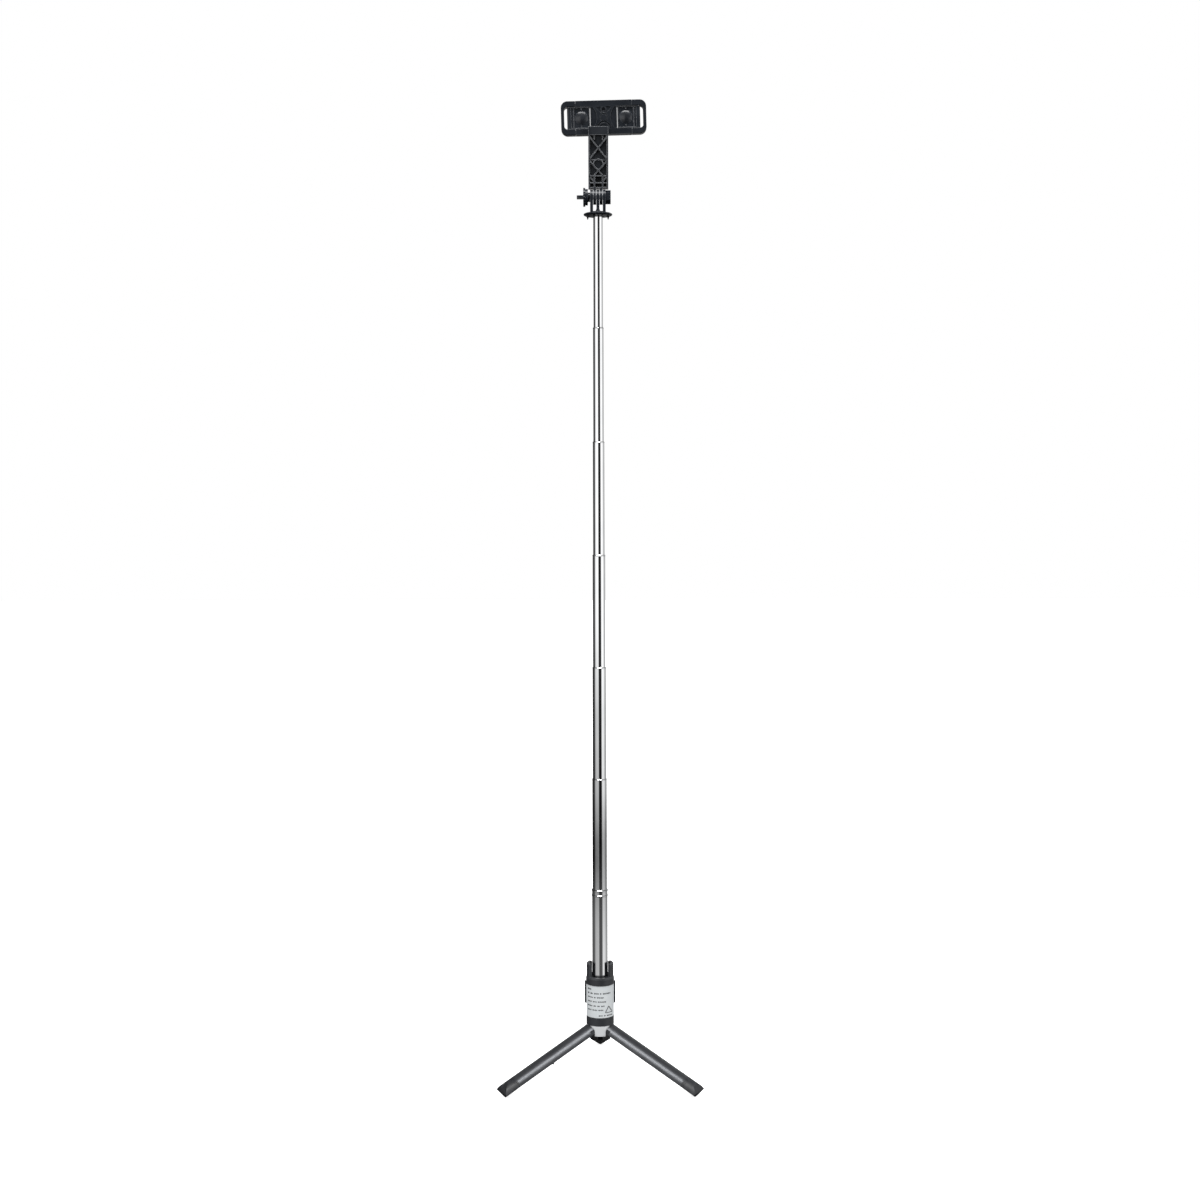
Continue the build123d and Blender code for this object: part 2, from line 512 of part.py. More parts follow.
def shell_half(v0, v1):
    """Top and bottom rails and the web between them, between two depths."""
    both = slab(2 * RAIL_HALF, 2 * HOLDER_HALF_W, 0.4, v0, v1)
    for side in (-1, 1):
        u = sorted((side * WEB_HALF, side * 40))
        both = both - block(u, (v0 - 1, v1 + 1), (-BAR_IN, BAR_IN))
    return both


def rail_channels(v0, v1):
    """The slots in the two rails that the bails' arms run in, between two depths."""
    reach = (-RAIL_HALF - 1, RAIL_HALF + 1)
    low = tuple(sorted(-w for w in ARM_CHANNEL_W))
    return [block(reach, (v0, v1), w) for w in (ARM_CHANNEL_W, low)]


def web_hollow(v0, v1):
    """The space inside the web, between two depths."""
    return block((-10.5, 10.5), (v0, v1), (-7.5, 4.6))


def web_relief():
    """What is sunk into the web's face: two side arcs, a bowl, an arch with a lens, and a ring."""
    window_edge, face = WEB_HALF - 0.9, (-1, 0.9)
    field = block((-window_edge, window_edge), face, (-BAR_IN + 0.4, BAR_IN - 0.4))
    sides = [rod_y(WAIST_R, -2, 0.9, side * WAIST_U, 0) & field for side in (-1, 1)]
    bowl = (rod_y(BOWL_R, -2, 1.1, 0, BOWL_W) - rod_y(3 * SHELL_SCREW_R, -3, 3, 0, SHELL_SCREW_W)) & field
    arch = (rod_y(ARCH_R, -2, 1.1, 0, -BAR_IN) - rod_y(ARCH_R - ARCH_WALL, -3, 3, 0, -BAR_IN)) & field
    ring = rod_y(RING_R, -2, 0.6) - rod_y(RING_R - RING_WALL, -3, 3)
    lens = rod_y(5.0, -2, 0.5, 0, -BAR_IN) & field
    return [*sides, bowl, arch, ring, lens]


def holder_back():
    """Shell next to the arm: rails with a channel each, and a web cut into an hourglass."""
    body = shell_half(0, SHELL_SPLIT)
    for sunk in web_relief():
        body = body - sunk
    upper, lower = rail_channels(1.1, SHELL_SPLIT + 1)
    body = body - upper - (lower & block((-40, 40), (3.9, 20), (-40, 40)))
    body = body - rod_y(SHELL_SCREW_R, -2, 20, 0, SHELL_SCREW_W)
    body = body - rod_y(SHELL_SCREW_R + 0.9, -2, 1.3, 0, SHELL_SCREW_W)
    pin_hole = rod_y(SWIVEL_R + 0.6, -1, 3.6, ARM_X - HOLDER_X, SWIVEL_Z - HOLDER_Z)
    return body - web_hollow(2.6, SHELL_SPLIT + 1) - pin_hole


def holder_front():
    """Shell on the phone's side, closing the channels."""
    body = shell_half(SHELL_SPLIT, HOLDER_DEPTH)
    for channel in rail_channels(SHELL_SPLIT - 1, 7.9):
        body = body - channel
    return body - rod_y(SHELL_SCREW_R, 0, 7.4, 0, SHELL_SCREW_W) - web_hollow(SHELL_SPLIT - 1, 7.0)


def holder_screw():
    """Screw that closes the holder's shells."""
    screw = rod_y(SHELL_SCREW_R, 1.3, 7.2) + rod_y(SHELL_SCREW_R + 0.8, 0.3, 1.3)
    cross = block((-1.2, 1.2), (0, 0.8), (-0.2, 0.2))
    return Pos(0, 0, SHELL_SCREW_W) * (screw - cross - Rot(0, 90, 0) * cross)


def phone_pad():
    """Ribbed rubber pad glued on the web for the phone's back."""
    body = slab(24.0, 21.0, 2.0, HOLDER_DEPTH, HOLDER_DEPTH + 0.8)
    for u in range(-9, 10, 3):
        body = body - block((u - 0.4, u + 0.4), (HOLDER_DEPTH + 0.45, HOLDER_DEPTH + 2), (-9.0, 9.0))
    return body


def bail():
    """Right-hand end of the holder: a U with two slim arms that run inside the rails."""
    seam = RAIL_HALF + BAIL_GAP
    outline = slab(2 * HOLDER_HALF_U, 2 * HOLDER_HALF_W, HOLDER_CORNER, 0, HOLDER_DEPTH)
    inner = slab(2 * (HOLDER_HALF_U - BAIL_WALL), 2 * BAR_IN, 3.4, -1, HOLDER_DEPTH + 1)
    body = (outline - inner) & block((seam, 60), (-1, 20), (-20, 20))
    front_edges = body.faces().sort_by(Axis.Y)[0].edges() + body.faces().sort_by(Axis.Y)[-1].edges()
    body = chamfer(front_edges.filter_by(lambda e: e.center().X > seam + 0.5), 0.4)
    for sign in (-1, 1):
        w = sorted(sign * (a + b) for a, b in zip(ARM_CHANNEL_W, (0.08, -0.08)))
        body = body + block((1.2, seam + 1), (SHELL_SPLIT + 0.1, 7.8), w)
        pin_w = sorted((sign * (BAR_IN - 1), sign * (BAR_IN + 2.6)))
        body = body - rod_z(CLAW_PIN_R, *pin_w, x=CLAW_HINGE_U, y=CLAW_HINGE_V)
    return body


def claw_pin():
    """Hinge pin of the right-hand claw, pressed into the bail."""
    return rod_z(CLAW_PIN_R, -BAR_IN - 2.4, BAR_IN + 2.4, x=CLAW_HINGE_U, y=CLAW_HINGE_V)


def claw():
    """Right-hand claw folded flat: a framed plate with a hinge barrel at its outer end."""
    plate = block((CLAW_IN, CLAW_HINGE_U), (CLAW_V0, CLAW_V1), (-CLAW_HALF_W, CLAW_HALF_W))
    plate = chamfer(plate.edges().filter_by(Axis.Z).sort_by(Axis.X)[:2], 0.5)
    barrel = rod_z(1.5, -CLAW_HALF_W, CLAW_HALF_W, x=CLAW_HINGE_U, y=CLAW_HINGE_V)
    inside_w = (-CLAW_HALF_W + CLAW_FRAME, CLAW_HALF_W - CLAW_FRAME)
    field = block((CLAW_IN + CLAW_FRAME, 29.4), (-1, CLAW_FIELD_V), inside_w)
    body = plate + barrel - field - block((30.4, 32.4), (-1, CLAW_V0 + 0.8), inside_w)
    for sign in (-1, 1):
        w = sorted((sign * 7.6, sign * (CLAW_HALF_W - 0.5)))
        body = body + block((PAD_U - 0.4, PAD_U + 0.4), (CLAW_V0, CLAW_FIELD_V + 0.3), w)
    for u in range(17, 30, 3):
        body = body - block((u - 0.5, u + 0.5), (CLAW_V1 - 0.5, CLAW_V1 + 1), (-8.5, 8.5))
    return body - rod_z(CLAW_PIN_R + RUN, -20, 20, x=CLAW_HINGE_U, y=CLAW_HINGE_V)


def claw_pad():
    """Domed rubber pad set in the right-hand claw's field."""
    dome_r = (PAD_R ** 2 + PAD_HEIGHT ** 2) / (2 * PAD_HEIGHT)
    dome = Pos(PAD_U, CLAW_FIELD_V + dome_r - PAD_HEIGHT, 0) * Sphere(dome_r)
    return dome & block((0, 40), (-5, CLAW_FIELD_V), (-20, 20))


def clamp_spring():
    """Close-wound spring in the top rail that draws the two bails together."""
    coil, half = 0.7, 9.8
    turns = int(2 * half / coil)
    centre_v, centre_w = 2.6, (ARM_CHANNEL_W[0] + ARM_CHANNEL_W[1]) / 2
    grooves = [rod_x(1.4, u, u + 0.12) - rod_x(1.22, u - 1, u + 1)
               for u in (-half + coil * (k + 0.5) for k in range(turns))]
    spring = rod_x(1.35, -half, half)
    for groove in grooves:
        spring = spring - groove
    return Pos(0, centre_v, centre_w) * spring


# ---- all nodes ----------------------------------------------------------------------------

def main():
    write("hub", hub())
    write("hub_screws", *around(hub_screw(), [a + 60 for a in LEG_AZIMUTHS]))
    pin = Pos(HINGE_R, 0, HINGE_Z) * Rot(90, 0, 0) * Cylinder(HINGE_PIN_R, 2 * HINGE_PIN_HALF)
    write("leg_pins", *around(pin, LEG_AZIMUTHS))
    leg, cap = leg_body(), foot_cap()
    floor = block((-200, 200), (-200, 200), (-50, 0))
    for number, azimuth in enumerate(LEG_AZIMUTHS, 1):
        write(f"leg_{number}", leg_place(azimuth) * leg)
        write(f"leg_foot_{number}", leg_place(azimuth) * cap - floor)

    write("lower_collar", lower_collar())
    write("grip_tube", grip_tube())
    write("label", label())
    write("upper_collar", upper_collar())
    write("remote_cradle", remote_cradle())
    for node, solid in remote_parts().items():
        write(node, solid)

    for number in range(1, TUBE_COUNT + 1):
        write(f"tube_{number}", tube(number))
        if number > 1:
            write(f"bushing_{number}", bushing(number))

    write("head_yoke", head_yoke())
    write("hex_nut", hex_nut())
    write("hinge_screw", hinge_screw())
    write("hinge_knob", hinge_knob())
    write("holder_arm", holder_arm())
    write("swivel_pin", swivel_pin())

    for node, solid in (("holder_back", holder_back()), ("holder_front", holder_front()),
                        ("holder_screw", holder_screw()), ("phone_pad", phone_pad()),
                        ("clamp_spring", clamp_spring())):
        write(node, HOLDER_PLACE * solid)
    for side, flip in (("left", True), ("right", False)):
        for make in (bail, claw_pin, claw, claw_pad):
            shape = mirror(make(), Plane.YZ) if flip else make()
            write(f"{make.__name__}_{side}", HOLDER_PLACE * shape)


main()
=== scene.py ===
import json
import math

import bmesh
import bpy
from mathutils import Matrix, Vector

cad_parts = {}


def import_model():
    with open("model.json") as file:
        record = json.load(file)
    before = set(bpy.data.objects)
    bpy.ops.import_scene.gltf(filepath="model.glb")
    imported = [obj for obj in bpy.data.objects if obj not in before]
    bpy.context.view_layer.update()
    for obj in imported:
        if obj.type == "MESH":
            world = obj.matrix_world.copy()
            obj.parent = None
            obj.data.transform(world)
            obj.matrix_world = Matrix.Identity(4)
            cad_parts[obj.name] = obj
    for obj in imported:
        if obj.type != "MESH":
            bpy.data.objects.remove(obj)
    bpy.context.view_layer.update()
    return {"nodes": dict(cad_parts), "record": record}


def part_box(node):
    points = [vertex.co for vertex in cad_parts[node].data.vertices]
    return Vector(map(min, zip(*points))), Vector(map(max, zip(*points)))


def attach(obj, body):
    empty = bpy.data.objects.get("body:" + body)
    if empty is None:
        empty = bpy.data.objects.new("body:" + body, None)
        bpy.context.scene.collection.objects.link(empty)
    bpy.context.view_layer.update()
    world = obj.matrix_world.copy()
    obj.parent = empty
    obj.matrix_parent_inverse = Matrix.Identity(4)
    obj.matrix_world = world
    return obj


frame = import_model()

# Selfie stick on a fold-out tripod: materials for the CAD parts, the printed label and other thin
# surface detail, and a white studio. Metres, +Z up, the viewer on the -Y side.

MM = 0.001
NODES = frame["nodes"]
scene = bpy.context.scene

# The second colour of each plastic goes on thin edges and rib tops: partly wear, partly a painted highlight.
BLACK_PLASTIC, BLACK_WEAR_AND_HIGHLIGHT = (0.009, 0.0115, 0.016), (0.075, 0.080, 0.090)
REMOTE_PLASTIC, REMOTE_WEAR_AND_HIGHLIGHT = (0.020, 0.021, 0.024), (0.08, 0.08, 0.085)
COLLAR_PLASTIC, COLLAR_WEAR_AND_HIGHLIGHT = (0.034, 0.036, 0.040), (0.12, 0.123, 0.13)
CLAW_PLASTIC, CLAW_WEAR_AND_HIGHLIGHT = (0.014, 0.017, 0.022), (0.34, 0.35, 0.37)
ARM_PLASTIC, ARM_WEAR_AND_HIGHLIGHT = (0.015, 0.0175, 0.022), (0.36, 0.37, 0.385)
FOOT_RUBBER, PAD_RUBBER = (0.020, 0.021, 0.024), (0.016, 0.018, 0.022)
BRIGHT_STEEL = ((0.46, 0.46, 0.47), (0.62, 0.62, 0.63))
BLACK_OXIDE = ((0.03, 0.032, 0.038), (0.06, 0.063, 0.07))

INK_FILM, INK_SINK = 0.03 * MM, 0.004 * MM     # how thick the print is, and how far it sits in the label
PRINT_REACH = 0.98                             # half width of the print, as a part of the label's radius
LETTER_PITCH = 0.045                           # from mark to mark, as a part of the print's width
# Each row: its place down the label, the marks' height in mm, then each word's start and end across.
PRINT_ROWS = ((0.10, 1.5, (0.06, 0.18)),
              (0.23, 1.35, (0.06, 0.11), (0.15, 0.24), (0.28, 0.46), (0.50, 0.55), (0.60, 0.89)),
              (0.355, 1.15, (0.06, 0.24), (0.28, 0.34), (0.38, 0.65)),
              (0.49, 1.15, (0.06, 0.20), (0.24, 0.38), (0.42, 0.72)),
              (0.625, 1.15, (0.05, 0.22), (0.26, 0.36), (0.40, 0.50), (0.54, 0.67)),
              (0.755, 1.15, (0.06, 0.19), (0.22, 0.40), (0.44, 0.62)),
              (0.93, 1.15, (0.45, 0.60), (0.64, 0.71), (0.75, 0.94)))
TRIANGLE = ((0.815, 0.64), (0.94, 0.84), (0.69, 0.84))
TRIANGLE_LINE = 0.75 * MM

SET_MIDDLE = Vector((0.0, 0.0, 0.5))
WALLS_RADIUS, FILL_RADIUS, FLOOR_REACH = 9.0, 8.5, 7.5
FLOOR_SLOPE = -0.34                            # of a ray down to where the walls meet the floor
FLOOR_GLOW, FILL_FROM_ABOVE = 0.75, 1.2
# Brightness of the walls round the set: back, left back, left, viewer, right, right back, back.
WALLS_ROUND = ((0.0, 0.22), (0.10, 0.07), (0.26, 0.06), (0.325, 1.1), (0.455, 1.25), (0.487, 0.012),
               (0.59, 0.015), (0.632, 1.25), (0.735, 1.1), (0.77, 0.62), (0.87, 0.45), (1.0, 0.42))
# Brightness up a wall, from the floor to level with the middle of the set.
LEFT_WALL_UP = ((0.08, 0.40), (0.13, 0.38), (0.19, 0.27), (0.27, 0.12), (0.34, 0.24), (0.41, 0.44),
                (0.57, 0.56), (0.64, 0.68), (0.73, 0.95), (1.0, 1.0))
RIGHT_WALL_UP = ((0.08, 0.68), (0.13, 0.57), (0.19, 0.44), (0.27, 0.32), (0.34, 0.36), (0.41, 0.74),
                 (0.57, 0.82), (0.64, 0.92), (0.73, 1.0), (1.0, 1.0))
TOP_PLACE, TOP_SIZE, TOP_POWER = (0.0, -0.5, 2.4), (1.5, 0.6), 31.0
FRONT_ACROSS, FRONT_AHEAD, FRONT_UP, FRONT_SIZE = 1.7, -1.9, 1.1, (0.9, 1.6)
FRONT_LEFT_POWER, FRONT_RIGHT_POWER = 10.0, 9.5

SENSOR_MM, LENS_MM = 36.0, 51.95
CAMERA_AIM, CAMERA_DISTANCE = Vector((0.001, 0.0, 0.493)), 1.75
CAMERA_TILT, CAMERA_ROLL = math.radians(3.75), math.radians(-0.157)


# ---- node-building helpers ----------------------------------------------------------------

class Surface:
    """A material with one Principled shader, and short calls that add nodes to it."""

    def __init__(self, name, **sockets):
        self.material = bpy.data.materials.new(name)
        self.material.use_nodes = True
        tree = self.material.node_tree
        self.nodes, self.links = tree.nodes, tree.links
        self.shader = self.nodes["Principled BSDF"]
        for socket, value in sockets.items():
            self.shader.inputs[socket.replace("_", " ")].default_value = value
        self.place = self.add("ShaderNodeTexCoord").outputs["Object"]

    def add(self, kind, **settings):
        node = self.nodes.new(kind)
        for key, value in settings.items():
            setattr(node, key, value)
        return node

    def link(self, source, target):
        self.links.new(source, target)

    def stretched(self, x=1.0, y=1.0, z=1.0):
        """The object's coordinates, scaled unevenly, for grain that runs one way."""
        node = self.add("ShaderNodeMapping")
        node.inputs["Scale"].default_value = (x, y, z)
        self.link(self.place, node.inputs["Vector"])
        return node.outputs["Vector"]

    def noise(self, size, detail=3.0, roughness=0.55, vector=None):
        """Noise with features about size metres across, 0 to 1."""
        node = self.add("ShaderNodeTexNoise")
        node.inputs["Scale"].default_value = 1.0 / size
        node.inputs["Detail"].default_value = detail
        node.inputs["Roughness"].default_value = roughness
        self.link(vector or self.place, node.inputs["Vector"])
        return node.outputs["Fac"]

    def cells(self, size):
        """Distance to the nearest of scattered points about size metres apart."""
        node = self.add("ShaderNodeTexVoronoi")
        node.inputs["Scale"].default_value = 1.0 / size
        self.link(self.place, node.inputs["Vector"])
        return node.outputs["Distance"]

    def remap(self, value, low, high, to_low=0.0, to_high=1.0):
        """A value's range from low to high, spread over another range."""
        node = self.add("ShaderNodeMapRange")
        for socket, number in zip(("From Min", "From Max", "To Min", "To Max"), (low, high, to_low, to_high)):
            node.inputs[socket].default_value = number
        self.link(value, node.inputs["Value"])
        return node.outputs["Result"]

    def vary(self, noise, low=0.0, high=1.0):
        """The range that a noise mostly keeps to, spread from low to high."""
        return self.remap(noise, 0.3, 0.7, low, high)

    def math(self, operation, a, b):
        node = self.add("ShaderNodeMath", operation=operation)
        for socket, value in zip(node.inputs, (a, b)):
            if isinstance(value, (int, float)):
                socket.default_value = value
            else:
                self.link(value, socket)
        return node.outputs["Value"]

    def blend(self, factor, a, b):
        """Mix of two colours, each a colour or a socket."""
        node = self.add("ShaderNodeMix", data_type="RGBA")
        self.link(factor, node.inputs[0])
        for socket, value in ((node.inputs[6], a), (node.inputs[7], b)):
            if isinstance(value, tuple):
                socket.default_value = (*value, 1.0)
            else:
                self.link(value, socket)
        return node.outputs[2]

    def ramp(self, value, stops):
        """Grey levels along 0 to 1, from (place, level) stops."""
        node = self.add("ShaderNodeValToRGB")
        steps = node.color_ramp.elements
        while len(steps) < len(stops):
            steps.new(0.5)
        places, levels = zip(*stops)
        for step, place in zip(steps, places):
            step.position = place
        # The steps stay sorted by place, so the levels come once every step is in its place.
        for step, level in zip(steps, levels):
            step.color = (level, level, level, 1.0)
        self.link(value, node.inputs["Fac"])
        return node.outputs["Color"]

    def edges(self, radius):
        """Where the surface bends sharply, 0 to 1, for wear along edges."""
        bevel = self.add("ShaderNodeBevel", samples=6)
        bevel.inputs["Radius"].default_value = radius
        true = self.add("ShaderNodeNewGeometry").outputs["Normal"]
        dot = self.add("ShaderNodeVectorMath", operation="DOT_PRODUCT")
        self.link(bevel.outputs["Normal"], dot.inputs[0])
        self.link(true, dot.inputs[1])
        return self.remap(dot.outputs["Value"], 0.99, 0.85)

    def ridges(self, distance):
        """Where the body is thin under the surface, 0 to 1: outer edges and narrow ribs, not corners."""
        probe = self.add("ShaderNodeAmbientOcclusion", samples=8, inside=True, only_local=True)
        probe.inputs["Distance"].default_value = distance
        return self.remap(probe.outputs["AO"], 0.92, 0.55)

    def relief(self, height, strength, distance, round_edges=0.0):
        """Bump from a height, over edges rounded by a small radius."""
        bump = self.add("ShaderNodeBump")
        bump.inputs["Strength"].default_value = strength
        bump.inputs["Distance"].default_value = distance
        self.link(height, bump.inputs["Height"])
        if round_edges:
            bevel = self.add("ShaderNodeBevel", samples=6)
            bevel.inputs["Radius"].default_value = round_edges
            self.link(bevel.outputs["Normal"], bump.inputs["Normal"])
        self.link(bump.outputs["Normal"], self.shader.inputs["Normal"])

    def colour(self, socket):
        self.link(socket, self.shader.inputs["Base Color"])

    def roughness(self, socket):
        self.link(socket, self.shader.inputs["Roughness"])


# ---- materials ----------------------------------------------------------------------------

def moulded_plastic(name, tone, edge_wear_and_highlight, rough, grain=0.25 * MM, edge=0.5 * MM):
    """Spark-textured moulded plastic: fine grain, soft patches of handling, and paler edges and rib tops that
    are partly wear and partly a painted highlight.
    """
    s = Surface(name, Specular_IOR_Level=0.4)
    patches = s.noise(14 * MM, detail=4.0)
    fine = s.noise(grain, detail=2.0)
    body = s.blend(s.remap(patches, 0.35, 0.7), tone, tuple(1.35 * c for c in tone))
    # Thin edges and rib tops take the pale second colour: a painted highlight, broken up by noise as rubbed
    # wear.
    edge_mask = s.math("MULTIPLY", s.ridges(edge), s.remap(s.noise(2.5 * MM), 0.35, 0.6, 0.45, 1.0))
    s.colour(s.blend(edge_mask, body, edge_wear_and_highlight))
    s.roughness(s.math("ADD", s.vary(patches, rough - 0.06, rough + 0.07),
                       s.vary(fine, -0.03, 0.03)))
    s.relief(fine, 0.25, 0.03 * MM, round_edges=0.25 * MM)
    return s.material


def chrome():
    """Bright chromed tube: faint lengthwise drawing lines, wiping marks and specks."""
    s = Surface("chrome_tube", Metallic=1.0)
    drawn = s.noise(1.0, detail=3.0, vector=s.stretched(2600, 2600, 9))
    wipes = s.noise(22 * MM, detail=5.0, roughness=0.6)
    rings = s.noise(1.0, detail=2.0, vector=s.stretched(30, 30, 1500))
    s.colour(s.blend(s.remap(wipes, 0.3, 0.75), (0.83, 0.84, 0.85), (0.91, 0.915, 0.92)))
    streaks = s.remap(drawn, 0.35, 0.75, 0.0, 0.03)
    s.roughness(s.math("ADD", s.remap(wipes, 0.35, 0.75, 0.04, 0.09), streaks))
    s.relief(s.math("ADD", drawn, s.math("MULTIPLY", rings, 0.3)), 0.04, 0.01 * MM)
    return s.material


def gunmetal():
    """Satin metallic lacquer over the moulded legs, rubbed at the edges."""
    s = Surface("leg_gunmetal", Metallic=0.6, Coat_Weight=0.15, Coat_Roughness=0.3)
    flakes = s.cells(0.16 * MM)
    clouds = s.noise(18 * MM, detail=4.0)
    base = s.blend(s.vary(clouds), (0.066, 0.069, 0.075), (0.081, 0.084, 0.091))
    sparkle = s.blend(s.remap(flakes, 0.0, 0.35, 0.22, 0.0), base, (0.3, 0.31, 0.33))
    scuffs = s.noise(1.0, detail=4.0, vector=s.stretched(260, 900, 900))
    edge_mask = s.math("MULTIPLY", s.edges(0.5 * MM), s.remap(scuffs, 0.4, 0.62))
    s.colour(s.blend(edge_mask, sparkle, (0.10, 0.103, 0.11)))
    s.roughness(s.math("ADD", s.vary(clouds, 0.29, 0.34), s.remap(scuffs, 0.5, 0.8, 0.0, 0.08)))
    s.relief(s.math("ADD", flakes, s.noise(0.7 * MM)), 0.08, 0.015 * MM, round_edges=0.4 * MM)
    return s.material


def silver_lacquer():
    """Pale silver lacquer of the hub and the grip."""
    s = Surface("hub_silver", Metallic=0.0, Coat_Weight=0.3, Coat_Roughness=0.2)
    flakes = s.cells(0.14 * MM)
    clouds = s.noise(12 * MM, detail=4.0)
    base = s.blend(s.vary(clouds), (0.78, 0.80, 0.81), (0.85, 0.865, 0.875))
    edge_mask = s.math("MULTIPLY", s.edges(0.4 * MM), s.remap(s.noise(1.6 * MM), 0.4, 0.6))
    s.colour(s.blend(edge_mask, base, (0.52, 0.53, 0.55)))
    s.roughness(s.vary(clouds, 0.30, 0.42))
    s.relief(flakes, 0.12, 0.015 * MM, round_edges=0.3 * MM)
    return s.material


def label_film():
    """Satin film wrapped round the grip, with a faint weave of its print screen."""
    s = Surface("label_white", Specular_IOR_Level=0.45)
    clouds = s.noise(9 * MM, detail=4.0)
    screen = s.noise(0.35 * MM, detail=1.0)
    s.colour(s.blend(s.vary(clouds), (0.82, 0.865, 0.885), (0.87, 0.905, 0.92)))
    s.roughness(s.math("ADD", s.vary(clouds, 0.38, 0.5), s.vary(screen, -0.03, 0.03)))
    s.relief(screen, 0.12, 0.01 * MM)
    return s.material


def rubber(name, tone, rough):
    """Soft dark rubber with a stippled skin, dust in its grain."""
    s = Surface(name, Specular_IOR_Level=0.5)
    stipple = s.cells(0.45 * MM)
    dust = s.noise(6 * MM, detail=5.0, roughness=0.65)
    base = s.blend(s.remap(dust, 0.45, 0.75), tone, tuple(2.1 * c for c in tone))
    rubbed = s.math("MULTIPLY", s.ridges(0.6 * MM), s.remap(s.noise(1.4 * MM), 0.35, 0.6))
    s.colour(s.blend(rubbed, base, tuple(3.2 * c for c in tone)))
    s.roughness(s.vary(dust, rough - 0.07, rough + 0.08))
    s.relief(stipple, 0.25, 0.03 * MM, round_edges=0.35 * MM)
    return s.material


def steel(name, low, high):
    """Steel of screws and pins, turned and slightly dulled."""
    s = Surface(name, Metallic=1.0)
    cloud = s.noise(1.8 * MM, detail=4.0)
    turned = s.noise(1.0, detail=2.0, vector=s.stretched(4000, 4000, 300))
    s.colour(s.blend(s.vary(cloud), low, high))
    s.roughness(s.math("ADD", s.vary(cloud, 0.22, 0.36), s.vary(turned, -0.04, 0.04)))
    s.relief(turned, 0.1, 0.01 * MM, round_edges=0.12 * MM)
    return s.material


def circuit_board():
    """Green solder mask with pale tracks."""
    s = Surface("circuit_board", Specular_IOR_Level=0.5)
    tracks = s.add("ShaderNodeTexBrick")
    tracks.inputs["Scale"].default_value = 420.0
    tracks.inputs["Mortar Size"].default_value = 0.06
    s.link(s.stretched(1, 0.0, 1), tracks.inputs["Vector"])
    s.colour(s.blend(tracks.outputs["Fac"], (0.016, 0.10, 0.045), (0.07, 0.22, 0.10)))
    s.roughness(s.vary(s.noise(1.5 * MM), 0.28, 0.42))
    s.relief(tracks.outputs["Fac"], 0.2, 0.03 * MM)
    return s.material


def acetal():
    """Natural acetal of the bushings, waxy and faintly turned."""
    s = Surface("bushing_plastic", Subsurface_Weight=0.05)
    turned = s.noise(1.0, detail=2.0, vector=s.stretched(50, 50, 3000))
    cloud = s.noise(4 * MM)
    s.colour(s.blend(s.vary(cloud), (0.62, 0.60, 0.54), (0.72, 0.70, 0.65)))
    s.roughness(s.vary(turned, 0.32, 0.44))
    s.relief(turned, 0.2, 0.01 * MM, round_edges=0.1 * MM)
    return s.material


def ink():
    """Dark grey printing ink, a little patchy."""
    s = Surface("label_ink", Specular_IOR_Level=0.3)
    patch = s.noise(0.5 * MM, detail=3.0)
    s.colour(s.blend(s.remap(patch, 0.35, 0.65), (0.03, 0.032, 0.036), (0.09, 0.093, 0.10)))
    s.roughness(s.vary(patch, 0.45, 0.6))
    return s.material


MATERIALS = {
    "black_plastic": moulded_plastic("black_plastic", BLACK_PLASTIC, BLACK_WEAR_AND_HIGHLIGHT, 0.32),
    "remote_plastic": moulded_plastic("remote_plastic", REMOTE_PLASTIC, REMOTE_WEAR_AND_HIGHLIGHT, 0.32, grain=0.18 * MM),
    "leg_gunmetal": gunmetal(),
    "chrome_tube": chrome(),
    "hub_silver": silver_lacquer(),
    "label_white": label_film(),
    "rubber_black": rubber("rubber_black", FOOT_RUBBER, 0.42),
    "steel": steel("steel", *BRIGHT_STEEL),
    "circuit_board": circuit_board(),
    "bushing_plastic": acetal(),
}


def dress_frame():
    """Give every CAD node the finish of its slot, or a variant of it."""
    slot_of = {part["node"]: part["material_slot"] for part in frame["record"]["subparts"]}
    pad = rubber("pad_rubber", PAD_RUBBER, 0.24)
    claw = moulded_plastic("claw_plastic", CLAW_PLASTIC, CLAW_WEAR_AND_HIGHLIGHT, 0.26, edge=0.35 * MM)
    collar = moulded_plastic("collar_plastic", COLLAR_PLASTIC, COLLAR_WEAR_AND_HIGHLIGHT, 0.36)
    variants = {"holder_arm": moulded_plastic("arm_plastic", ARM_PLASTIC, ARM_WEAR_AND_HIGHLIGHT, 0.30),
                "holder_screw": steel("black_oxide", *BLACK_OXIDE),
                "lower_collar": collar, "upper_collar": collar,
                "claw_pad_left": pad, "claw_pad_right": pad,
                "claw_left": claw, "claw_right": claw}
    for name, obj in NODES.items():
        material = variants.get(name, MATERIALS[slot_of[name]])
        if not obj.material_slots:
            obj.data.materials.append(material)
        for holder in obj.material_slots:
            holder.material = material


def put(name, data):
    """Add an object to the scene."""
    obj = bpy.data.objects.new(name, data)
    scene.collection.objects.link(obj)
    return obj


def mesh_from(name, bm):
    """Turn a bmesh into a mesh."""
    mesh = bpy.data.meshes.new(name)
    bm.to_mesh(mesh)
    bm.free()
    return mesh


# ---- printed label ------------------------------------------------------------------------

